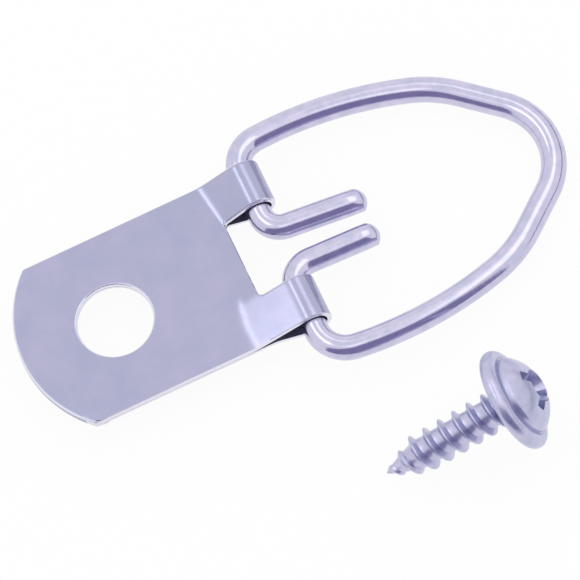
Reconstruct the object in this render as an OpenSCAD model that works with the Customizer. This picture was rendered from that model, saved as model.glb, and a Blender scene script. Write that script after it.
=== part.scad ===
// One-hole strap hanger: a folded strap of sheet steel, an open ring of bent wire that swings in the
// strap's two eyes, and the self-tapping washer-head screw that lies beside it.
// Millimetres. The origin is the centre of the screw hole on the strap's back face.
// +X points from the hole to the ring, +Z points out of the wall towards the room.

/* [Strap] */
// Thickness of the sheet steel
sheet_t = 0.5; // [0.4:0.05:0.6]
// Hairline gap between the two leaves that the fold leaves
leaf_gap = 0.05; // [0.03:0.01:0.1]
// Width of the strap
strap_w = 18.7; // [17:0.1:20]
// Distance from the hole's centre to the rounded end
end_reach = 10.1; // [8:0.1:14]
// Radius of the rounded end
end_r = 13; // [11:0.5:20]
// Rounding of the two corners beside the rounded end
end_corner_r = 0.6; // [0.3:0.1:1.5]
// Diameter of the screw hole through both leaves
hole_d = 7.7; // [5:0.1:9]
// Distance from the hole's centre to the cut-out between the two arms
notch_x = 13.95; // [12.5:0.05:15]
// Width of the cut-out between the two arms
notch_w = 9; // [8.4:0.1:10]
// Rounding of the cut-out's two corners
notch_corner_r = 0.5; // [0.2:0.1:1]

/* [Eyes] */
// Distance from the hole's centre to the axis of the two eyes
eye_x = 17.6; // [17:0.1:20]
// Clearance round the wire inside an eye, on the radius
eye_clearance = 0.2; // [0.15:0.01:0.3]
// Slope of the arms where they run up to the eyes, in degrees
ramp_angle = 22; // [18:1:28]
// Radius of the hollow bend between the flat strap and the arms, on the outside
crease_r = 2.6; // [1.6:0.1:3.4]

/* [Ring] */
// Diameter of the wire
wire_d = 2.6; // [2.2:0.1:2.8]
// Distance of the left and the right stub's root from the ring's middle
stub_ys = [2.44, 2.03]; // [1.9:0.01:2.6]
// Lean of the left and the right stub towards the other, in degrees
stub_leans = [3.7, 0]; // [0:0.1:4]
// Distance from the eyes' axis to the tips of the left and the right stub
stub_reaches = [10.3, 9.95]; // [7:0.05:13]
// Straight wire past the outside of each eye, before the bend
bend_margin = 0.05; // [0.05:0.05:0.6]
// Centreline radius of the bends beside the eyes
side_bend_r = 3.2; // [2.6:0.1:4]
// Outward heading of the wire after those bends, in degrees
side_splay = 5.5; // [3:0.5:8]
// Centreline radius of the long bowed sides
side_bow_r = 40; // [36:1:60]
// Distance from the eyes' axis to the end of the bowed sides
bow_reach = 18.65; // [16:0.05:19.5]
// Centreline radius of the two knees
knee_r = 13.4; // [9:0.1:15]
// Slope of the straight wire between a knee and the nose, in degrees
nose_slope = 41; // [36:1:44]
// Centreline radius of the nose at the ring's far end
nose_r = 7; // [5:0.1:8.5]
// Hang of the ring below the strap's plane as it lies, in degrees
ring_dip = 4.6; // [-10:0.1:10]
// Sideways slide of the ring in its eyes as it lies
ring_slide = -0.72; // [-0.8:0.01:0.8]

/* [Screw] */
// Length from the point to the underside of the washer flange
screw_l = 14.3; // [12:0.1:24]
// Outside diameter of the thread
thread_d = 4.2; // [3.9:0.1:4.6]
// Diameter at the root of the thread
root_d = 2.95; // [2.6:0.05:3.3]
// Distance between neighbouring crests
pitch = 1.72; // [1.4:0.02:2]
// Length of the tapering point
point_l = 3.9; // [3:0.1:5]
// Diameter of the washer flange
flange_d = 10.8; // [10:0.1:12]
// Thickness of the flange's rounded rim
rim_t = 1.6; // [1.3:0.05:1.8]
// Diameter of the domed head above the flange
dome_d = 8.2; // [7.4:0.1:8.6]
// Radius of the dome's round
dome_r = 5.15; // [4.6:0.05:6.5]
// Height of the whole head above the flange's underside
head_h = 4.1; // [3.6:0.05:4.4]
// Span of the cross recess where its wings meet the dome
recess_d = 5.4; // [4.4:0.1:5.8]
// Depth of the cross recess
recess_depth = 2.4; // [1.8:0.1:2.8]
// Width of one wing of the cross recess
wing_w = 1.1; // [0.8:0.05:1.3]
// Place of the screw's point beside the strap, along the strap and across it
point_place = [17.7, -26.7]; // [-40:0.1:40]
// Direction of the lying screw from its point to its head, seen from above, in degrees
screw_heading = -3.5; // [-180:0.5:180]
// Rise of the lying screw's head over its point, in degrees
screw_tilt = 20; // [17:0.5:40]
// Turn of the screw about its own axis, in degrees
screw_roll = 325; // [0:5:355]
// Turn of the cross recess against the thread, in degrees
recess_turn = 20; // [0:5:85]

/* [Hidden] */

$fn = 96;
overrun = 1;
crease_steps = 8;
// An arm's faces run this far out from the eye's centre, so they end just inside the eye's circles
tuck_share = 0.985;

wire_r = wire_d / 2;
strap_half_t = sheet_t + leaf_gap / 2;
end_reach_centre = end_r - end_reach;
eye_r = wire_r + eye_clearance;
eye_outer_r = eye_r + sheet_t;

// The hollow bend's centre lies over the strap, and the arm runs from its arc to the eye's circle,
// tangent to both.
crease_z = strap_half_t + crease_r;
crease_run = ((crease_r + eye_outer_r) - crease_z * cos(ramp_angle)) / sin(ramp_angle);
crease_x = eye_x - crease_run;

// A point at distance r and angle a from the origin, in a plane.
function polar(r, a) = r * [cos(a), sin(a)];

// Half the outline of a folded shape seen from the side, above the strap's middle plane: flat at height h
// over the strap, round the hollow bend at radius bend_r, and down the arm into the eye's circle.
function side_edge(h, bend_r, circle_r) = concat(
    [[-end_reach - overrun, h]],
    [for (i = [0:crease_steps]) [crease_x, crease_z] + polar(bend_r, i / crease_steps * ramp_angle - 90)],
    [[eye_x, 0] + polar(tuck_share * circle_r, 90 + ramp_angle)]
);

// The whole folded shape, run across the strap: the half outline with its mirror image, and the eye's round.
module folded(h, bend_r, circle_r, across) {
    edge = side_edge(h, bend_r, circle_r);
    count = len(edge);
    rotate([90, 0, 0]) {
        linear_extrude(height = across, center = true)
            polygon(concat(edge, [for (i = [1:count]) [edge[count - i].x, -edge[count - i].y]]));
        translate([eye_x, 0, 0]) cylinder(r = circle_r, h = across, center = true);
    }
}

// Cuts the sharp corner beside the rounded end back to its rounding.
module end_corner_cut() {
    round_y = strap_w / 2 - end_corner_r;
    round_x = end_reach_centre - sqrt(pow(end_r - end_corner_r, 2) - pow(round_y, 2));
    arc_a = atan2(round_y, round_x - end_reach_centre);
    side = 2 * end_corner_r * [0, 1];
    slant = polar(2 * end_corner_r, arc_a);
    translate([round_x, round_y])
        difference() {
            polygon([[0, 0], side, side + slant, slant]);
            circle(r = end_corner_r);
        }
}

// The cut-out between the arms, with two rounded corners.
module notch() {
    reach = eye_outer_r + eye_x + overrun - notch_x;
    corner_y = notch_w / 2 - notch_corner_r;
    translate([notch_x, 0]) {
        translate([notch_corner_r, -notch_w / 2]) square([reach - notch_corner_r, notch_w]);
        translate([0, -corner_y]) square([notch_corner_r, 2 * corner_y]);
        for (side = [-1, 1]) translate([notch_corner_r, side * corner_y]) circle(r = notch_corner_r);
    }
}

// The strap seen from the front.
module strap_outline() {
    right_x = eye_x + eye_outer_r + overrun;
    difference() {
        intersection() {
            translate([-end_reach, -strap_w / 2]) square([right_x + end_reach, strap_w]);
            union() {
                translate([end_reach_centre, 0]) circle(r = end_r);
                translate([end_reach_centre, -strap_w / 2])
                    square([right_x - end_reach_centre, strap_w]);
            }
        }
        end_corner_cut();
        mirror([0, 1]) end_corner_cut();
        notch();
    }
}

module strap() {
    block_h = 2 * (eye_outer_r + overrun);
    color([0.74, 0.73, 0.83])
        translate([0, 0, strap_half_t])
            difference() {
                intersection() {
                    folded(strap_half_t, crease_r, eye_outer_r, strap_w + overrun);
                    linear_extrude(height = block_h, center = true) strap_outline();
                }
                folded(leaf_gap / 2, crease_r + sheet_t, eye_r, strap_w + 2 * overrun);
                cylinder(d = hole_d, h = block_h, center = true);
            }
}

// The ring is drawn flat, with the eyes' axis along Y at zero and the nose towards +X. Its tight bends
// are a hair thicker than the rest of the wire, which runs a short lap into them.
bend_swell = 0.01;
bend_wire_r = wire_r + bend_swell;
wire_lap = 0.1;
tip_ball_share = 1.12;
tip_ball_r = tip_ball_share * wire_r;
side_bend_y = strap_w / 2 + bend_margin;
side_start_a = 90 + side_splay;
bow_centre = [side_bend_r, side_bend_y] + polar(side_bend_r - side_bow_r, side_start_a);
bow_end_a = acos((bow_reach - bow_centre.x) / side_bow_r);
knee_centre = bow_centre + polar(side_bow_r - knee_r, bow_end_a);
nose_a = 90 - nose_slope;
knee_end = knee_centre + polar(knee_r, nose_a);
flank_l = (knee_end.y - nose_r * sin(nose_a)) / cos(nose_a);
nose_x = knee_end.x + flank_l * sin(nose_a) - nose_r * cos(nose_a);

// An arc of wire round a centre, between two angles, with its ends lengthened by lap.
module wire_bend(r, from_a, to_a, thick, lap) {
    lap_a = lap / r * 180 / PI;
    rotate([0, 0, from_a - lap_a])
        rotate_extrude(angle = to_a - from_a + 2 * lap_a) translate([r, 0]) circle(r = thick);
}

// Straight wire from the origin in the direction a, with its ends lengthened by the lap.
module wire_run(l, a) {
    rotate([0, 0, a]) translate([-wire_lap, 0]) rotate([0, 90, 0]) cylinder(r = wire_r, h = l + 2 * wire_lap);
}

// A stub's straight wire along X, whose tip is domed by a ball wider than the wire.
module stub(l) {
    intersection() {
        wire_run(l, 0);
        translate([l - tip_ball_r, 0]) {
            sphere(r = tip_ball_r);
            translate([-l, 0]) rotate([0, 90, 0]) cylinder(r = tip_ball_r, h = l);
        }
    }
}

// Half of the ring, with a stub whose root is stub_y from the middle.
module half_ring(stub_y, lean, reach) {
    stub_bend_r = (notch_w / 2 - stub_y) / cos(lean);
    stub_centre = [stub_bend_r, notch_w / 2];
    root = stub_centre + polar(stub_bend_r, 270 - lean);
    translate(root) rotate([0, 0, -lean]) stub((reach - root.x) / cos(lean));
    translate(stub_centre) wire_bend(stub_bend_r, 180, 270 - lean, bend_wire_r, 0);
    translate([0, notch_w / 2]) wire_run(side_bend_y - notch_w / 2, 90);
    translate([side_bend_r, side_bend_y]) wire_bend(side_bend_r, side_start_a, 180, bend_wire_r, 0);
    translate(bow_centre) wire_bend(side_bow_r, bow_end_a, side_start_a, wire_r, wire_lap);
    translate(knee_centre) wire_bend(knee_r, nose_a, bow_end_a, bend_wire_r, 0);
    translate(knee_end) wire_run(flank_l, -nose_slope);
}

module wire_ring() {
    color([0.70, 0.69, 0.80])
        translate([eye_x, ring_slide, strap_half_t]) rotate([0, ring_dip, 0]) {
            half_ring(stub_ys[0], stub_leans[0], stub_reaches[0]);
            mirror([0, 1, 0]) half_ring(stub_ys[1], stub_leans[1], stub_reaches[1]);
            translate([nose_x, 0]) wire_bend(nose_r, -nose_a, nose_a, bend_wire_r, 0);
        }
}

// The screw is drawn upright on its point.
thread_steps = 30;
point_share = 0.04;
taper_power = 0.75;
// Shares of one pitch: root, foot of the crest, and the crest's two edges
crest_shares = [0, 0.5, 0.72, 0.8];
head_bite = 0.3;
thread_start = point_share * point_l;
thread_turns = (screw_l + head_bite - thread_start) / pitch + 1 - crest_shares[3];
thread_rows = ceil(thread_turns * thread_steps);

// Share of the full diameter at a height over the point
function taper(z) = pow(min(1, z / point_l), taper_power);
// A point of the thread's surface, on row k and column j
function thread_point(k, j) =
    let (z = thread_start + pitch * (k / thread_steps + crest_shares[j]))
    let (r = taper(z) * (j < 2 ? root_d : thread_d) / 2)
    concat(polar(r, 360 * k / thread_steps), [z]);

// Threaded shank: a skin on helical rows, closed by a fan at the point and one inside the head.
module thread() {
    cols = len(crest_shares);
    skin = [for (k = [0:thread_rows], j = [0:cols - 1]) thread_point(k, j)];
    tip = len(skin);
    top = tip + 1;
    last = thread_rows;
    at = function(k, j) j < cols ? k * cols + j : (k + thread_steps) * cols;
    walls = [
        for (k = [0:last - 1], j = [0:cols - 1])
            if (j < cols - 1 || k < last - thread_steps)
                each [[at(k, j), at(k + 1, j + 1), at(k + 1, j)], [at(k, j), at(k, j + 1), at(k + 1, j + 1)]]
    ];
    tip_fan = concat(
        [for (k = [0:thread_steps - 1]) [tip, at(k, 0), at(k + 1, 0)]],
        [for (j = [0:cols - 1]) [tip, at(0, j + 1), at(0, j)]]
    );
    top_fan = concat(
        [for (k = [last - thread_steps:last - 1]) [top, at(k + 1, cols - 1), at(k, cols - 1)]],
        [for (j = [0:cols - 2]) [top, at(last, j), at(last, j + 1)]],
        [[top, at(last - thread_steps, cols - 1), at(last, 0)]]
    );
    top_z = thread_start + pitch * last / thread_steps;
    polyhedron(points = concat(skin, [[0, 0, 0], [0, 0, top_z]]), faces = concat(walls, tip_fan, top_fan));
}

rim_r = rim_t / 2;
flange_flat_r = flange_d / 2 - rim_r;
groove_r = 0.35;
groove_depth = 0.15;
// The wings' ends slope in towards the floor of the recess, and its middle is a second, steeper cone.
recess_floor_share = 0.45;
core_d = 3.6;
core_floor_d = 1.7;

// A cone upwards from the recess's floor that is as wide as d where it meets the dome.
module recess_cone(d, floor_d, h) {
    meet_h = recess_depth - dome_r + sqrt(pow(dome_r, 2) - pow(d / 2, 2));
    cylinder(d1 = floor_d, d2 = floor_d + (d - floor_d) * h / meet_h, h = h);
}

module recess() {
    deep = recess_depth + overrun;
    intersection() {
        recess_cone(recess_d, recess_floor_share * recess_d, deep);
        for (a = [0, 90]) rotate([0, 0, a])
            translate([-recess_d, -wing_w / 2, 0]) cube([2 * recess_d, wing_w, deep]);
    }
    recess_cone(core_d, core_floor_d, deep);
}

module screw_head() {
    difference() {
        union() {
            cylinder(r = flange_flat_r, h = rim_t);
            rotate_extrude() translate([flange_flat_r, rim_r]) circle(r = rim_r);
        }
        rotate_extrude()
            translate([dome_d / 2, rim_t - groove_depth + groove_r]) circle(r = groove_r);
    }
    intersection() {
        translate([0, 0, head_h - dome_r]) sphere(r = dome_r);
        cylinder(d = dome_d, h = head_h);
    }
}

// As it lies, the screw's first full crest touches the ground, the plane under the strap's two eyes.
ground_z = strap_half_t - eye_outer_r;
point_z = ground_z + thread_d / 2 * cos(screw_tilt) - point_l * sin(screw_tilt);

module screw() {
    color([0.68, 0.68, 0.79])
        translate([point_place.x, point_place.y, point_z])
            rotate([0, 90 - screw_tilt, screw_heading])
                rotate([0, 0, screw_roll])
                    difference() {
                        union() {
                            thread();
                            translate([0, 0, screw_l]) screw_head();
                        }
                        translate([0, 0, screw_l + head_h - recess_depth])
                            rotate([0, 0, recess_turn]) recess();
                    }
}

strap();
wire_ring();
screw();
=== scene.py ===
import math

import bmesh
import bpy
from mathutils import Matrix, Vector


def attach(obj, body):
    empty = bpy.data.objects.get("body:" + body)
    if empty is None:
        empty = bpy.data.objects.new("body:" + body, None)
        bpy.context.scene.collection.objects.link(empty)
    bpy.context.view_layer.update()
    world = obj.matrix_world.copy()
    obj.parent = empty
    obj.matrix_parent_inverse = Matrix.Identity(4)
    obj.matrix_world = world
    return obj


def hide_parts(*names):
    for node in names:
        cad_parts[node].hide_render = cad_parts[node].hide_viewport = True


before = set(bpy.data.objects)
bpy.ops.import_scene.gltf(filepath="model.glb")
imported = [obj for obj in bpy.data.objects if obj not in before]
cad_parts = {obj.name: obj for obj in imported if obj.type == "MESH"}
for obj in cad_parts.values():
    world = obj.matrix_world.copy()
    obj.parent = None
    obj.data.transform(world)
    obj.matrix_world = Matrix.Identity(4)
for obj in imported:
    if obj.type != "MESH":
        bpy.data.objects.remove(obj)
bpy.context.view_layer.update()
millimetre = 0.001


def clearSelection():
    if bpy.context.object and bpy.context.object.mode == "EDIT":
        bpy.ops.object.mode_set(mode="OBJECT")
    bpy.ops.object.select_all(action="DESELECT")


def choose(piece):
    clearSelection()
    piece.select_set(True)
    bpy.context.view_layer.objects.active = piece


def applyPlace():
    bpy.ops.object.transform_apply(location=True, rotation=True, scale=True)


def openForEditing(piece):
    choose(piece)
    bpy.ops.object.mode_set(mode="EDIT")


def closeEditing():
    bpy.ops.object.mode_set(mode="OBJECT")


def pickAll():
    bpy.ops.mesh.select_all(action="SELECT")


def pick(kind, test):
    # selects, in the mesh that is open, the verts, edges or faces that the test says
    bpy.ops.mesh.select_mode(type=kind)
    bpy.ops.mesh.select_all(action="DESELECT")
    cage = bmesh.from_edit_mesh(bpy.context.object.data)
    parts = {"VERT": cage.verts, "EDGE": cage.edges, "FACE": cage.faces}[kind]
    found = [part for part in parts if test(part)]
    for part in found:
        part.select_set(True)
    cage.select_flush_mode()
    bmesh.update_edit_mesh(bpy.context.object.data)
    return len(found)


def pull(x, y, z):
    bpy.ops.mesh.extrude_region_move(TRANSFORM_OT_translate={"value": (x, y, z)})


def turn(angle, steps, centre, axis):
    # spin goes clockwise round its axis, so the angle changes its sign
    bpy.ops.mesh.spin(steps=steps, angle=-angle, center=centre, axis=axis)


def cutEvenly(cuts, normal):
    # even cuts square to the normal, through the mesh that is open
    first, step, count = cuts
    for i in range(count):
        place = [(first + step * i) * part for part in normal]
        pickAll()
        bpy.ops.mesh.bisect(plane_co=place, plane_no=normal)


def applyModifier(piece, modifier):
    choose(piece)
    bpy.ops.object.modifier_apply(modifier=modifier.name)


def cutWith(piece, tool, operation):
    cut = piece.modifiers.new("cut", "BOOLEAN")
    cut.operation = operation
    cut.object = tool
    cut.solver = "EXACT"
    applyModifier(piece, cut)
    bpy.data.objects.remove(tool)


def block(low, high):
    clearSelection()
    size = [high[i] - low[i] for i in range(3)]
    middle = [(high[i] + low[i]) / 2 for i in range(3)]
    bpy.ops.mesh.primitive_cube_add(size=1, location=middle)
    made = bpy.context.object
    made.scale = size
    applyPlace()
    return made


def drum(radius, low, high, centre, count):
    clearSelection()
    bpy.ops.mesh.primitive_cylinder_add(
        vertices=count, radius=radius, depth=high - low,
        location=(centre[0], centre[1], (high + low) / 2),
    )
    applyPlace()
    return bpy.context.object


def closeUp(piece):
    # merges the doubles and turns every face outwards
    openForEditing(piece)
    pickAll()
    bpy.ops.mesh.remove_doubles(threshold=0.0005)
    bpy.ops.mesh.normals_make_consistent(inside=False)
    closeEditing()


def startLine(points):
    # a line of vertices, drawn point by point from the one corner that is left of a plane
    clearSelection()
    bpy.ops.mesh.primitive_plane_add(size=1)
    line = bpy.context.object
    openForEditing(line)
    pick("VERT", lambda v: v.index > 0)
    bpy.ops.mesh.delete(type="VERT")
    pickAll()
    start = bmesh.from_edit_mesh(line.data).verts[:][0].co
    bpy.ops.transform.translate(value=Vector(points[0]) - start)
    for before, after in zip(points, points[1:]):
        pull(*(Vector(after) - Vector(before)))
    closeEditing()
    return line


def roundPoints(centre, radius, fromAngle, toAngle, steps):
    angles = [math.radians(fromAngle + (toAngle - fromAngle) * i / steps) for i in range(steps + 1)]
    return [(centre[0] + radius * math.cos(a), centre[1] + radius * math.sin(a)) for a in angles]


def shareBetween(value, low, high):
    # 0 at the low end and before it, 1 at the high end and beyond it
    return min(1, max(0, (value - low) / (high - low)))


def finishPiece(piece, name, place, smoothAngle):
    # puts the piece in its place, in metres, and writes that into its mesh
    clearSelection()
    piece.name = name
    piece.data.name = name
    piece.matrix_world = Matrix.Scale(millimetre, 4) @ place
    choose(piece)
    applyPlace()
    bpy.ops.object.shade_smooth_by_angle(angle=math.radians(smoothAngle))


# The folded strap: one strip of sheet, bent round the eye and back, then cut to its outline.
strapSizes = {
    "sheet": 0.5,
    "leafGap": 0.05,
    "width": 18.7,
    "endReach": 10.1,
    "endRadius": 13,
    "endCorner": 0.6,
    "hole": 7.7,
    "cutOutStart": 13.95,
    "cutOutWidth": 9,
    "cutOutCorner": 0.5,
    "eyeAxis": 17.6,
    "eyeRoom": 1.5,           # radius inside the eye
    "rampAngle": 22,
    "creaseRadius": 2.6,
    "creaseSteps": 10,
    "eyeSteps": 64,
    "spare": 1,               # sheet beyond the outline, before it is cut
    "sharpAngle": 50,         # an edge that bends by more is a cut one
    "edgeRound": 0.25,        # the rounded edge that the punch leaves on the outside
    "lowRound": 0.09,         # the same along the lower side, where it is sharper
    "roundSteps": 4,
    "leftRoot": (3.7, 4.5),   # each arm's crease fades in between these places across the strap
    "rightRoot": (2.3, 4.2),
    "creaseShifts": [         # place across the strap, and the crease's shift along it
        (9.4, -0.45), (4.4, 0.45), (2.9, 0.5), (-2.2, -0.6),
        (-3.2, -1.7), (-4.6, -2.3), (-7, -2.75), (-9.4, -2.7),
    ],
    "rowCuts": (9.93, 0.2, 34),         # first place, step and count of the cuts that let the leaf bend
    "columnCuts": (9.15, -0.25, 72),
}

# Which faces are punched edges, by where they look and where they lie; these get painted brighter, a painted
# reflection of the pale floor on the walls and a painted highlight on the rounding
edgeTest = {
    "level": 0.97,            # a face that looks up or down by more than this isn't an edge
    "flatReach": 10.5,        # up to here the strap is flat, and any other face is an edge
    "sideways": 0.35,         # beyond it only a face that looks sideways by more than this
    "wall": 0.3,              # a face that looks up or down by less than this is a wall
    "pastHole": 3,            # this far beyond the hole and further, the rounded end's wall gets no painted brightening
}


def foldShape():
    # what follows from the sizes: the middle of the sheet in its crease and round its eye
    s = strapSizes
    halfThick = s["sheet"] + s["leafGap"] / 2
    ramp = math.radians(s["rampAngle"])
    eyeMid = s["eyeRoom"] + s["sheet"] / 2
    creaseMid = s["creaseRadius"] + s["sheet"] / 2
    creaseZ = halfThick + s["creaseRadius"]
    creaseX = s["eyeAxis"] - ((creaseMid + eyeMid) - creaseZ * math.cos(ramp)) / math.sin(ramp)
    return {
        "halfThick": halfThick, "ramp": ramp, "eyeMid": eyeMid,
        "creaseMid": creaseMid, "creaseZ": creaseZ, "creaseX": creaseX,
    }


fold = foldShape()


def leafHeight(x, offset):
    # height of the outer leaf at an offset from its middle, up to where the curl begins
    creaseR = fold["creaseMid"] - offset
    if x <= fold["creaseX"]:
        return fold["creaseZ"] - creaseR
    if x <= fold["creaseX"] + creaseR * math.sin(fold["ramp"]):
        return fold["creaseZ"] - math.sqrt(creaseR ** 2 - (x - fold["creaseX"]) ** 2)
    rise = (x - strapSizes["eyeAxis"]) * math.sin(fold["ramp"])
    return (fold["eyeMid"] + offset + rise) / math.cos(fold["ramp"])


def strapMiddle(x):
    # height of the middle of the outer leaf over the strap's middle plane, with the curl
    eyeAxis = strapSizes["eyeAxis"]
    if x <= eyeAxis - fold["eyeMid"] * math.sin(fold["ramp"]):
        return leafHeight(x, 0)
    return math.sqrt(max(0, fold["eyeMid"] ** 2 - (x - eyeAxis) ** 2))


def offsetAt(x, z):
    # a point's offset from the middle of the outer leaf, found by halving
    halvings = 22
    low, high = -0.3, 0.3     # a little more than half the sheet
    for i in range(halvings):
        middle = (low + high) / 2
        if leafHeight(x, middle) < z:
            low = middle
        else:
            high = middle
    return (low + high) / 2


def foldStrap():
    s = strapSizes
    ramp = fold["ramp"]
    eyeMid = fold["eyeMid"]
    creaseMid = fold["creaseMid"]
    creaseX = fold["creaseX"]
    creaseZ = fold["creaseZ"]
    leafMid = fold["halfThick"] - s["sheet"] / 2
    startX = -s["endReach"] - s["spare"]
    wide = s["width"] + s["spare"]
    clearSelection()
    bpy.ops.mesh.primitive_plane_add(size=wide, location=(startX + wide / 2, 0, leafMid))
    strip = bpy.context.object
    applyPlace()
    openForEditing(strip)
    pick("VERT", lambda v: v.co.x > startX + wide / 2)
    bpy.ops.mesh.delete(type="VERT")
    pickAll()
    rise = (eyeMid * math.cos(ramp)) - (creaseZ - creaseMid * math.cos(ramp))
    run = (s["eyeAxis"] - eyeMid * math.sin(ramp)) - (creaseX + creaseMid * math.sin(ramp))
    pull(creaseX - startX, 0, 0)
    turn(ramp, s["creaseSteps"], (creaseX, 0, creaseZ), (0, -1, 0))
    pull(run, 0, rise)
    turn(math.pi + 2 * ramp, s["eyeSteps"], (s["eyeAxis"], 0, 0), (0, 1, 0))
    pull(-run, 0, rise)
    turn(ramp, s["creaseSteps"], (creaseX, 0, -creaseZ), (0, -1, 0))
    pull(startX - creaseX, 0, 0)
    closeEditing()
    thick = strip.modifiers.new("thick", "SOLIDIFY")
    thick.thickness = s["sheet"]
    thick.offset = 0
    thick.use_even_offset = True
    applyModifier(strip, thick)
    closeUp(strip)
    return strip


def drawnTool(points, reach):
    # a closed outline drawn point by point, filled and pulled up through the strap
    tool = startLine([(x, y, -reach) for x, y in points])
    openForEditing(tool)
    pickAll()
    bpy.ops.mesh.edge_face_add()
    pull(0, 0, 2 * reach)
    closeEditing()
    closeUp(tool)
    return tool


def outlineTool():
    s = strapSizes
    corner = s["endCorner"]
    endCentre = s["endRadius"] - s["endReach"]
    pastEye = s["eyeAxis"] + 4
    half = s["width"] / 2
    cornerX = endCentre - math.sqrt((s["endRadius"] - corner) ** 2 - (half - corner) ** 2)
    meet = math.degrees(math.atan2(half - corner, cornerX - endCentre))
    points = [(pastEye, half)]
    points += roundPoints((cornerX, half - corner), corner, 90, meet, steps=6)
    points += roundPoints((endCentre, 0), s["endRadius"], meet, 360 - meet, steps=72)[1:-1]
    points += roundPoints((cornerX, corner - half), corner, 360 - meet, 270, steps=6)
    points += [(pastEye, -half)]
    return drawnTool(points, reach=6)


def cutOutTool():
    s = strapSizes
    corner = s["cutOutCorner"]
    half = s["cutOutWidth"] / 2
    startX = s["cutOutStart"]
    pastEye = s["eyeAxis"] + 5
    points = [(pastEye, half)]
    points += roundPoints((startX + corner, half - corner), corner, 90, 180, steps=8)
    points += roundPoints((startX + corner, corner - half), corner, 180, 270, steps=8)
    points += [(pastEye, -half)]
    return drawnTool(points, reach=6.5)


def isOuterEdge(edge):
    # a sharp edge on the outside of the fold, where the strap's face meets a punched wall
    s = strapSizes
    if len(edge.link_faces) != 2 or edge.calc_face_angle() < math.radians(s["sharpAngle"]):
        return False
    outside = 0.3 * s["sheet"]     # from the middle of the sheet
    for v in edge.verts:
        if v.co.x > s["eyeAxis"]:
            away = math.hypot(v.co.x - s["eyeAxis"], v.co.z) - fold["eyeMid"]
        else:
            away = abs(v.co.z) - strapMiddle(v.co.x)
        if away < outside:
            return False
    return True


def weighEdges(strap):
    # the outer edges get the weight of their rounding, less along the lower side
    s = strapSizes
    lowSide = -s["width"] / 2 + 0.01
    openForEditing(strap)
    count = pick("EDGE", isOuterEdge)
    cage = bmesh.from_edit_mesh(strap.data)
    weights = cage.edges.layers.float.new("bevel_weight_edge")
    for edge in cage.edges:
        if edge.select:
            isLow = all(v.co.y < lowSide for v in edge.verts)
            edge[weights] = s["lowRound"] / s["edgeRound"] if isLow else 1
    bmesh.update_edit_mesh(strap.data)
    closeEditing()
    return count


def markPaintedSheen(strap):
    # the punched walls and their rounded edges get a value of their own, where the finish paints them
    # brighter: a painted reflection of the pale floor on the walls and a painted highlight on the rounding
    t = edgeTest
    edge = strap.data.attributes.new("paintedEdgeSheen", "FLOAT", "FACE")
    endWallX = -t["pastHole"] - strapSizes["hole"] / 2
    for face in strap.data.polygons:
        n = face.normal
        x = face.center.x
        isTurned = abs(n.z) < t["level"]
        isOutward = x < t["flatReach"] or abs(n.y) > t["sideways"]
        isEndWall = abs(n.z) < t["wall"] and n.x < -t["wall"] and x < endWallX
        edge.data[face.index].value = 1 if isTurned and isOutward and not isEndWall else 0


def creaseShift(y):
    # how far the front leaf's crease lies along the strap from its even place
    table = strapSizes["creaseShifts"]
    for (topY, topShift), (lowY, lowShift) in zip(table, table[1:]):
        if y >= lowY:
            return topShift + (lowShift - topShift) * shareBetween(y, topY, lowY)
    return table[-1][1]


def easeLeaf(strap):
    # the front leaf stays flat between the arms, and its creases lie as the bending left them
    s = strapSizes
    creaseX = fold["creaseX"]
    openForEditing(strap)
    cutEvenly(s["rowCuts"], (1, 0, 0))
    cutEvenly(s["columnCuts"], (0, 1, 0))
    pickAll()
    bpy.ops.mesh.remove_doubles(threshold=0.002)
    cage = bmesh.from_edit_mesh(strap.data)
    for v in cage.verts:
        x, y, z = v.co
        startX = creaseX + creaseShift(y)
        if z < 0 or x < min(startX, creaseX):
            continue
        offset = offsetAt(x, z)
        endX = s["eyeAxis"] - (fold["eyeMid"] + offset) * math.sin(fold["ramp"])
        if x > endX:
            continue
        low, high = s["leftRoot"] if y > 0 else s["rightRoot"]
        share = shareBetween(abs(y), low, high)
        share = share * share * (3 - 2 * share)     # eases in and out
        evenX = creaseX + (x - startX) * (endX - creaseX) / (endX - startX)
        flatZ = leafHeight(creaseX, offset)
        v.co.z = flatZ + share * (leafHeight(evenX, offset) - flatZ)
    bmesh.update_edit_mesh(strap.data)
    closeEditing()


def makeStrap():
    s = strapSizes
    strap = foldStrap()
    cutWith(strap, outlineTool(), "INTERSECT")
    cutWith(strap, cutOutTool(), "DIFFERENCE")
    cutWith(strap, drum(s["hole"] / 2, low=-4, high=4, centre=(0, 0), count=144), "DIFFERENCE")
    closeUp(strap)
    count = weighEdges(strap)
    rounding = strap.modifiers.new("rounding", "BEVEL")
    rounding.limit_method = "WEIGHT"
    rounding.width = s["edgeRound"]
    rounding.segments = s["roundSteps"]
    rounding.use_clamp_overlap = False
    applyModifier(strap, rounding)
    markPaintedSheen(strap)
    easeLeaf(strap)
    lift = Matrix.Translation((0, 0, fold["halfThick"]))
    finishPiece(strap, "foldedStrap", lift, smoothAngle=30)
    even = strap.modifiers.new("even", "WEIGHTED_NORMAL")
    even.keep_sharp = True
    applyModifier(strap, even)
    print("strap folded and cut,", count, "outer edges rounded")
    return strap


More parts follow.
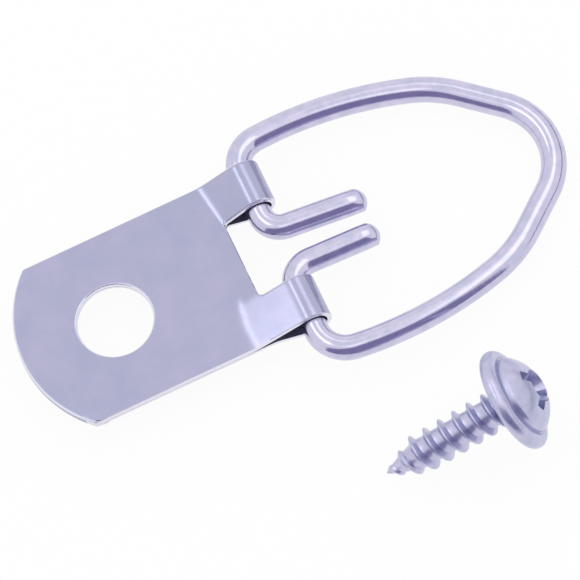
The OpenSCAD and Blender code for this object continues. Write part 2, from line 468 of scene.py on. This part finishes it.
# The wire ring, drawn flat with the eyes' axis along Y: one side from the eye to the nose is bent and
# mirrored, then each end is bent into its own stub.
ringSizes = {
    "wire": 2.6,
    "wireSides": 48,
    "bendStart": 4.5,         # where the wire comes out of the eye on the inside, from the ring's middle
    "leftStub": {"side": 1, "root": 2.44, "lean": 3.7, "reach": 10.3},
    "rightStub": {"side": -1, "root": 2.03, "lean": 0, "reach": 9.95},
    "tipBall": 1.12,          # the tip's dome, as a share of the wire's radius
    "tipSlant": 12,
    "tipDepth": 0.3,          # how far behind the dome the slant begins
    "sideStart": 9.4,
    "sideBend": 3.2,
    "splay": 5.5,
    "bowRadius": 40,
    "bowReach": 18.65,
    "kneeRadius": 13.4,
    "noseSlope": 41,
    "noseRadius": 7,
    "dip": 4.6,
    "slide": -0.72,
    "steps": {"side": 22, "bow": 24, "knee": 20, "flank": 3, "nose": 20, "stubBend": 20, "stub": 6, "tip": 6},
}


def wireDirection(angle, length):
    return (length * math.cos(angle), length * math.sin(angle), 0)


def pullEvenly(angle, length, steps):
    for i in range(steps):
        pull(*wireDirection(angle, length / steps))


def domeTip(radius, ball, heading):
    # the rounded tip, pulled out ring by ring and closed
    steps = ringSizes["steps"]["tip"]
    nowX = math.sqrt(ball ** 2 - radius ** 2)
    nowR = radius
    startAngle = math.acos(nowX / ball)
    for i in range(1, steps):
        angle = startAngle * (1 - i / steps)
        pull(*wireDirection(heading, ball * math.cos(angle) - nowX))
        shrink = ball * math.sin(angle) / nowR
        bpy.ops.transform.resize(value=(shrink, shrink, shrink))
        nowX = ball * math.cos(angle)
        nowR = ball * math.sin(angle)
    pull(*wireDirection(heading, ball - nowX))
    bpy.ops.mesh.merge(type="CENTER")


def bendStub(stub):
    s = ringSizes
    radius = s["wire"] / 2
    ball = radius * s["tipBall"]
    side = stub["side"]
    lean = math.radians(stub["lean"])
    bend = (s["bendStart"] - stub["root"]) / math.cos(lean)
    straight = (stub["reach"] - bend * (1 - math.sin(lean))) / math.cos(lean)
    straight -= ball - math.sqrt(ball ** 2 - radius ** 2)
    heading = -side * lean
    hair = 0.001
    pick("VERT", lambda v: abs(v.co.y - side * s["bendStart"]) < hair)
    turn(math.pi / 2 - lean, s["steps"]["stubBend"], (bend, side * s["bendStart"], 0), (0, 0, side))
    pullEvenly(heading, straight, s["steps"]["stub"])
    domeTip(radius, ball, heading)
    tipX = bend * (1 - math.sin(lean)) + straight * math.cos(lean)
    tipY = side * (stub["root"] - straight * math.sin(lean))
    around = 2
    pick("VERT", lambda v: abs(v.co.y - tipY) < around and tipX - s["tipDepth"] < v.co.x < tipX + around)
    bpy.ops.transform.rotate(
        value=math.radians(-s["tipSlant"]), orient_axis="Z", center_override=(tipX, tipY, 0)
    )


def makeRing():
    s = ringSizes
    steps = s["steps"]
    splay = math.radians(s["splay"])
    downwards = (0, 0, -1)
    clearSelection()
    bpy.ops.mesh.primitive_circle_add(
        vertices=s["wireSides"], radius=s["wire"] / 2, location=(0, s["bendStart"], 0),
        rotation=(math.pi / 2, 0, 0),
    )
    ring = bpy.context.object
    applyPlace()
    openForEditing(ring)
    pickAll()
    pull(0, s["sideStart"] - s["bendStart"], 0)     # through the eye
    turn(math.pi / 2 - splay, steps["side"], (s["sideBend"], s["sideStart"], 0), downwards)
    bowAngle = math.pi / 2 + splay
    bowX = s["sideBend"] + (s["sideBend"] - s["bowRadius"]) * math.cos(bowAngle)
    bowY = s["sideStart"] + (s["sideBend"] - s["bowRadius"]) * math.sin(bowAngle)
    bowEnd = math.acos((s["bowReach"] - bowX) / s["bowRadius"])
    turn(bowAngle - bowEnd, steps["bow"], (bowX, bowY, 0), downwards)
    kneeX = bowX + (s["bowRadius"] - s["kneeRadius"]) * math.cos(bowEnd)
    kneeY = bowY + (s["bowRadius"] - s["kneeRadius"]) * math.sin(bowEnd)
    noseAngle = math.pi / 2 - math.radians(s["noseSlope"])
    turn(bowEnd - noseAngle, steps["knee"], (kneeX, kneeY, 0), downwards)
    endX = kneeX + s["kneeRadius"] * math.cos(noseAngle)
    endY = kneeY + s["kneeRadius"] * math.sin(noseAngle)
    flank = (endY - s["noseRadius"] * math.sin(noseAngle)) / math.cos(noseAngle)
    pullEvenly(noseAngle - math.pi / 2, flank, steps["flank"])
    noseX = endX + flank * math.sin(noseAngle) - s["noseRadius"] * math.cos(noseAngle)
    turn(noseAngle, steps["nose"], (noseX, 0, 0), downwards)
    closeEditing()
    twin = ring.modifiers.new("twin", "MIRROR")
    twin.use_axis = (False, True, False)
    twin.merge_threshold = 0.005
    applyModifier(ring, twin)
    openForEditing(ring)
    bendStub(s["leftStub"])
    bendStub(s["rightStub"])
    closeUp(ring)
    place = (
        Matrix.Translation((strapSizes["eyeAxis"], s["slide"], fold["halfThick"]))
        @ Matrix.Rotation(math.radians(s["dip"]), 4, "Y")
    )
    finishPiece(ring, "wireRing", place, smoothAngle=40)
    print("ring bent,", len(ring.data.polygons), "faces, nose at", round(noseX + s["noseRadius"], 3))
    return ring


# The screw, drawn upright on its point: a threaded shank, a washer flange, a dome and a cross recess.
screwSizes = {
    "length": 14.3,
    "thread": 4.2,
    "root": 2.95,
    "pitch": 1.72,
    "windings": 11,
    "turnSteps": 60,
    "point": 3.9,
    "pointPower": 0.75,
    "pointCut": 0.35,         # below it the point is drawn together
    "threadStart": 0.156,
    "headOverlap": 0.3,       # how far the shank runs up into the head
    "flange": 10.8,
    "rim": 1.6,
    "rimStart": -75,          # the angle at which the rim's round meets the flat underside
    "dome": 8.2,
    "domeRound": 5.15,
    "shoulder": 0.6,          # rounding between the dome's wall and its round
    "head": 4.1,
    "headSteps": 96,
    "grooveRadius": 0.35,
    "grooveDepth": 0.15,
    "recess": 5.4,
    "recessDepth": 2.4,
    "recessFloor": 0.45,      # the floor's width, as a share of the recess
    "wing": 1.1,
    "core": 3.6,
    "coreFloor": 1.7,
    "recessTurn": 20,
    "pointPlace": (17.7, -26.7, -0.8355),
    "heading": -3.5,
    "tilt": 20,
    "roll": 325,
}

# One turn of the thread: share of the pitch, and share of the way from the root to the crest
threadForm = [
    (0.0, 0.03), (0.05, 0.0), (0.46, 0.0), (0.5, 0.04), (0.6, 0.44), (0.69, 0.9), (0.72, 0.98),
    (0.76, 1.0), (0.8, 0.97), (0.83, 0.87), (0.91, 0.45), (1.0, 0.03),
]


def windThread():
    # the shank as long as all its windings, hollow and of even thickness
    s = screwSizes
    root = s["root"] / 2
    deep = s["thread"] / 2 - root
    low = s["threadStart"] - s["pitch"]
    shank = startLine([(root + deep * high, 0, low + s["pitch"] * along) for along, high in threadForm])
    winding = shank.modifiers.new("winding", "SCREW")
    winding.angle = 2 * math.pi
    winding.screw_offset = s["pitch"]
    winding.iterations = s["windings"]
    winding.steps = s["turnSteps"]
    winding.render_steps = s["turnSteps"]
    winding.use_merge_vertices = True
    winding.merge_threshold = 0.001
    applyModifier(shank, winding)
    return shank


def makeShank():
    s = screwSizes
    top = s["length"] + s["headOverlap"]
    cut = s["pointCut"]
    hair = 0.0001
    upwards = (0, 0, 1)
    shank = windThread()
    openForEditing(shank)
    pickAll()
    bpy.ops.mesh.remove_doubles(threshold=0.001)
    pickAll()
    bpy.ops.mesh.bisect(plane_co=(0, 0, top), plane_no=upwards, clear_outer=True, use_fill=True)
    pickAll()
    bpy.ops.mesh.bisect(plane_co=(0, 0, cut), plane_no=upwards, clear_inner=True, use_fill=False)
    cage = bmesh.from_edit_mesh(shank.data)
    for v in cage.verts:
        if v.co.z < s["point"]:
            share = (v.co.z / s["point"]) ** s["pointPower"]
            v.co.x *= share
            v.co.y *= share
    bmesh.update_edit_mesh(shank.data)
    pick("VERT", lambda v: abs(v.co.z - cut) < hair)
    pull(0, 0, -cut)
    bpy.ops.mesh.merge(type="CENTER")
    cage = bmesh.from_edit_mesh(shank.data)
    for v in cage.verts:
        if v.select:
            v.co = (0, 0, 0)
    bmesh.update_edit_mesh(shank.data)
    closeEditing()
    closeUp(shank)
    return shank


def makeHead():
    # the head's outline from the axis outwards and up to the crown, turned round the axis
    s = screwSizes
    base = s["length"]
    rimR = s["rim"] / 2
    flatR = s["flange"] / 2 - rimR
    wallR = s["dome"] / 2
    grooveZ = base + s["rim"] - s["grooveDepth"] + s["grooveRadius"]
    outer = math.degrees(math.asin((base + s["rim"] - grooveZ) / s["grooveRadius"]))
    ballZ = base + s["head"] - s["domeRound"]
    edgeR = wallR - s["shoulder"]
    rise = math.sqrt((s["domeRound"] - s["shoulder"]) ** 2 - edgeR ** 2)
    meet = math.degrees(math.atan2(rise, edgeR))
    nearCrown = 89
    outline = [(0, base), (flatR, base)]
    outline += roundPoints((flatR, base + rimR), rimR, s["rimStart"], 90, steps=14)
    outline += roundPoints((wallR, grooveZ), s["grooveRadius"], outer, -90, steps=4)
    outline += roundPoints((edgeR, ballZ + rise), s["shoulder"], 0, meet, steps=6)
    outline += roundPoints((0, ballZ), s["domeRound"], meet, nearCrown, steps=20)[1:]
    outline += [(0, base + s["head"])]
    head = startLine([(r, 0, z) for r, z in outline])
    openForEditing(head)
    pickAll()
    turn(2 * math.pi, s["headSteps"], (0, 0, 0), (0, 0, 1))
    closeEditing()
    closeUp(head)
    return head


def recessCone(width, floorWidth):
    # a cone upwards from the recess's floor that has its width where it meets the dome
    s = screwSizes
    floor = s["length"] + s["head"] - s["recessDepth"]
    high = s["recessDepth"] + 1
    meet = s["recessDepth"] - s["domeRound"] + math.sqrt(s["domeRound"] ** 2 - width ** 2 / 4)
    topWidth = floorWidth + (width - floorWidth) * high / meet
    clearSelection()
    bpy.ops.mesh.primitive_cone_add(
        vertices=64, radius1=floorWidth / 2, radius2=topWidth / 2,
        depth=high, location=(0, 0, floor + high / 2),
    )
    cone = bpy.context.object
    applyPlace()
    return cone


def recessTool():
    # the driver's cross: two wings that narrow towards the floor, round a steeper core
    s = screwSizes
    floor = s["length"] + s["head"] - s["recessDepth"]
    low = floor - 1
    high = floor + s["recessDepth"] + 2
    wide = s["recess"]
    half = s["wing"] / 2
    wings = recessCone(wide, s["recessFloor"] * wide)
    cross = block((-wide, -half, low), (wide, half, high))
    cutWith(cross, block((-half, -wide, low), (half, wide, high)), "UNION")
    cutWith(wings, cross, "INTERSECT")
    cutWith(wings, recessCone(s["core"], s["coreFloor"]), "UNION")
    wings.rotation_euler = (0, 0, math.radians(s["recessTurn"]))
    choose(wings)
    applyPlace()
    return wings


def makeScrew():
    s = screwSizes
    screw = makeShank()
    cutWith(screw, makeHead(), "UNION")
    cutWith(screw, recessTool(), "DIFFERENCE")
    closeUp(screw)
    place = (
        Matrix.Translation(s["pointPlace"])
        @ Matrix.Rotation(math.radians(s["heading"]), 4, "Z")
        @ Matrix.Rotation(math.radians(90 - s["tilt"]), 4, "Y")
        @ Matrix.Rotation(math.radians(s["roll"]), 4, "Z")
    )
    finishPiece(screw, "washerHeadScrew", place, smoothAngle=35)
    print("screw wound and headed,", len(screw.data.polygons), "faces")
    return screw


# Bright zinc plating with a faint lilac cast: a little mottling, a fine grain, and punched edges painted
# brighter: the walls carry a painted reflection of the pale floor, the rounded edges a painted highlight.
zincFinish = {
    "zincSheet": {
        "tint": (0.43, 0.432, 0.602), "mottle": 300, "depth": 0.03,
        "grain": 2400, "dent": 0.000002, "gloss": (0.17, 0.24), "metal": 0.84,
    },
    "zincWire": {
        "tint": (0.59, 0.57, 0.745), "mottle": 900, "depth": 0.05,
        "grain": 3600, "dent": 0.000008, "gloss": (0.12, 0.2), "metal": 0.97,
    },
    "zincScrew": {
        "tint": (0.53, 0.53, 0.71), "mottle": 900, "depth": 0.06,
        "grain": 3600, "dent": 0.00001, "gloss": (0.26, 0.36), "metal": 0.97,
    },
}
zincPattern = {
    # the brighter colour painted on the punched walls and rounded edges: a painted reflection of the pale
    # floor on the walls, a painted highlight on the rounding
    "paintedSheenTint": (0.8, 0.79, 0.88, 1),
    "mottleDetail": 5,
    "mottleSpan": (0.34, 0.68),
    "grainDetail": 6,
    "grainRoughness": 0.6,
    "grainSpan": (0.3, 0.7),
    "dentStrength": 0.5,
}


def setInputs(node, values):
    for name, value in values.items():
        node.inputs[name].default_value = value


def newPaint(name):
    paint = bpy.data.materials.new(name)
    paint.use_nodes = True
    return paint


def zincMaterial(name):
    z = zincFinish[name]
    p = zincPattern
    material = newPaint(name)
    nodes = material.node_tree.nodes
    links = material.node_tree.links
    shader = nodes["Principled BSDF"]
    setInputs(shader, {"Metallic": z["metal"]})
    place = nodes.new("ShaderNodeTexCoord")

    mottle = nodes.new("ShaderNodeTexNoise")
    setInputs(mottle, {"Scale": z["mottle"], "Detail": p["mottleDetail"]})
    links.new(place.outputs["Object"], mottle.inputs["Vector"])
    tint = nodes.new("ShaderNodeValToRGB")
    red, green, blue = z["tint"]
    for i, light in enumerate((1 - z["depth"], 1 + z["depth"])):
        stop = tint.color_ramp.elements[i]
        stop.position = p["mottleSpan"][i]
        stop.color = (red * light * light, green * light, blue * light, 1)
    links.new(mottle.outputs["Fac"], tint.inputs["Fac"])
    # the punched walls and rounded edges are painted brighter here: a painted reflection of the pale floor on
    # the walls, a painted highlight on the rounding
    edge = nodes.new("ShaderNodeAttribute")
    edge.attribute_name = "paintedEdgeSheen"
    paint = nodes.new("ShaderNodeMix")
    paint.data_type = "RGBA"
    setInputs(paint, {"B": p["paintedSheenTint"]})
    links.new(edge.outputs["Fac"], paint.inputs["Factor"])
    links.new(tint.outputs["Color"], paint.inputs["A"])
    links.new(paint.outputs["Result"], shader.inputs["Base Color"])

    grain = nodes.new("ShaderNodeTexNoise")
    setInputs(grain, {"Scale": z["grain"], "Detail": p["grainDetail"], "Roughness": p["grainRoughness"]})
    links.new(place.outputs["Object"], grain.inputs["Vector"])
    sheen = nodes.new("ShaderNodeMapRange")
    setInputs(sheen, {"From Min": p["grainSpan"][0], "From Max": p["grainSpan"][1]})
    setInputs(sheen, {"To Min": z["gloss"][0], "To Max": z["gloss"][1]})
    links.new(grain.outputs["Fac"], sheen.inputs["Value"])
    links.new(sheen.outputs["Result"], shader.inputs["Roughness"])

    dent = nodes.new("ShaderNodeBump")
    setInputs(dent, {"Strength": p["dentStrength"], "Distance": z["dent"]})
    links.new(grain.outputs["Fac"], dent.inputs["Height"])
    links.new(dent.outputs["Normal"], shader.inputs["Normal"])
    return material


def dress(piece, material):
    piece.data.materials.clear()
    piece.data.materials.append(material)
    for face in piece.data.polygons:
        face.material_index = 0


strap = makeStrap()
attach(strap, "strap")
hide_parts("strap")
dress(strap, zincMaterial("zincSheet"))

ring = makeRing()
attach(ring, "ring")
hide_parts("wire_ring")
dress(ring, zincMaterial("zincWire"))

screw = makeScrew()
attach(screw, "screw")
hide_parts("screw")
dress(screw, zincMaterial("zincScrew"))
print("pieces dressed")


# The camera looks down from the photograph's side, turned so that the strap runs up to the right.
cameraView = {
    "looksAt": (17.02, -4.51, -0.25),
    "azimuth": -5.5,
    "lean": 24.5,             # degrees away from straight down
    "roll": -20,
    "widthSeen": 57.6,
    "distance": 1500,
    "sensor": 36,
    "clip": (0.01, 10),       # in metres
}


def placeCamera():
    c = cameraView
    lens = bpy.data.cameras.new("photoCamera")
    lens.sensor_width = c["sensor"]
    lens.lens = lens.sensor_width * c["distance"] / c["widthSeen"]
    lens.clip_start, lens.clip_end = c["clip"]
    camera = bpy.data.objects.new("photoCamera", lens)
    bpy.context.scene.collection.objects.link(camera)
    facing = (
        Matrix.Rotation(math.radians(c["azimuth"]), 4, "Z")
        @ Matrix.Rotation(math.radians(c["lean"]), 4, "X")
        @ Matrix.Rotation(math.radians(c["roll"]), 4, "Z")
    )
    away = facing @ Vector((0, 0, c["distance"]))
    camera.matrix_world = Matrix.Translation((Vector(c["looksAt"]) + away) * millimetre) @ facing
    bpy.context.scene.camera = camera


# Three soft panels and a strip overhead, two dark cards that only the metal mirrors, a pale floor and a pale
# room, all in metres.
studio = {
    "ambient": 0.9,
    "white": (1, 1, 1, 1),
    "leftPanel": {"at": (-0.205, 0.14, 0.55), "size": (0.19, 0.46), "power": 0.14},
    "leftStrip": {"at": (-0.165, 0.16, 0.54), "size": (0.09, 0.4), "power": 0.1},
    "rightPanel": {"at": (0.29, 0.1, 0.55), "size": (0.24, 0.56), "power": 0.27},
    "frontPanel": {"at": (0.03, -0.16, 0.55), "size": (0.16, 0.14), "power": 0.036},
    "frontCard": {
        "at": (-0.35, -0.5, 0.42), "turn": (90, 0, 0), "size": (1.5, 0.82),
        "look": {"Base Color": (0.27, 0.24, 0.43, 1), "Roughness": 0.9},
    },
    "sideCard": {
        "at": (0.7, 0.1, 0.05), "turn": (0, 90, 0), "size": (0.1, 1.2),
        "look": {"Base Color": (0.2, 0.19, 0.34, 1), "Roughness": 0.9},
    },
    "floor": {
        "height": -0.0032, "size": 8, "clear": 0.93,
        "look": {"Base Color": (0.93, 0.93, 0.94, 1), "Roughness": 0.8, "Specular IOR Level": 0.1},
    },
}


def lookingRay(nodes, links):
    # 1 for a ray that looks, straight, in a mirror or through something clear, and 0 for one that lights
    path = nodes.new("ShaderNodeLightPath")
    either = nodes.new("ShaderNodeMath")
    either.operation = "MAXIMUM"
    both = nodes.new("ShaderNodeMath")
    both.operation = "MAXIMUM"
    links.new(path.outputs["Is Camera Ray"], either.inputs[0])
    links.new(path.outputs["Is Glossy Ray"], either.inputs[1])
    links.new(either.outputs["Value"], both.inputs[0])
    links.new(path.outputs["Is Transmission Ray"], both.inputs[1])
    return both.outputs["Value"]


def mixTwo(links, mix, share, first, second):
    # joins two shaders, with the share of the second
    links.new(share, mix.inputs["Fac"])
    links.new(first, mix.inputs[1])
    links.new(second, mix.inputs[2])
    return mix.outputs["Shader"]


def lightWorld():
    world = bpy.data.worlds.new("paleRoom")
    bpy.context.scene.world = world
    world.use_nodes = True
    nodes = world.node_tree.nodes
    links = world.node_tree.links
    soft = nodes["Background"]
    setInputs(soft, {"Color": studio["white"], "Strength": studio["ambient"]})
    seen = nodes.new("ShaderNodeBackground")
    setInputs(seen, {"Color": studio["white"], "Strength": 1})
    mix = nodes.new("ShaderNodeMixShader")
    share = lookingRay(nodes, links)
    mixed = mixTwo(links, mix, share, soft.outputs["Background"], seen.outputs["Background"])
    links.new(mixed, nodes["World Output"].inputs["Surface"])


def hangPanel(name):
    p = studio[name]
    lamp = bpy.data.lights.new(name, "AREA")
    lamp.shape = "RECTANGLE"
    lamp.size, lamp.size_y = p["size"]
    lamp.energy = p["power"]
    panel = bpy.data.objects.new(name, lamp)
    panel.location = p["at"]
    panel.visible_camera = False
    bpy.context.scene.collection.objects.link(panel)


def standCard(name):
    c = studio[name]
    clearSelection()
    bpy.ops.mesh.primitive_plane_add(size=1, location=c["at"], rotation=[math.radians(a) for a in c["turn"]])
    card = bpy.context.object
    card.name = name
    card.scale = (c["size"][0], c["size"][1], 1)
    card.visible_camera = False
    card.visible_diffuse = False
    card.visible_shadow = False
    paint = newPaint(name)
    setInputs(paint.node_tree.nodes["Principled BSDF"], c["look"])
    dress(card, paint)


def layFloor():
    # mostly clear to the rays that look at it, so the ring still shows where it swings below the table
    f = studio["floor"]
    clearSelection()
    bpy.ops.mesh.primitive_plane_add(size=f["size"], location=(0, 0, f["height"]))
    floor = bpy.context.object
    floor.name = "paleFloor"
    paint = newPaint("paleFloor")
    nodes = paint.node_tree.nodes
    links = paint.node_tree.links
    base = nodes["Principled BSDF"]
    setInputs(base, f["look"])
    clear = nodes.new("ShaderNodeBsdfTransparent")
    share = nodes.new("ShaderNodeMath")
    share.operation = "MULTIPLY"
    share.inputs[1].default_value = f["clear"]
    links.new(lookingRay(nodes, links), share.inputs[0])
    mix = nodes.new("ShaderNodeMixShader")
    mixed = mixTwo(links, mix, share.outputs["Value"], base.outputs["BSDF"], clear.outputs["BSDF"])
    links.new(mixed, nodes["Material Output"].inputs["Surface"])
    dress(floor, paint)


placeCamera()
lightWorld()
hangPanel("leftPanel")
hangPanel("leftStrip")
hangPanel("rightPanel")
hangPanel("frontPanel")
standCard("frontCard")
standCard("sideCard")
layFloor()
bpy.context.scene.view_settings.view_transform = "Standard"
print("camera and studio set")
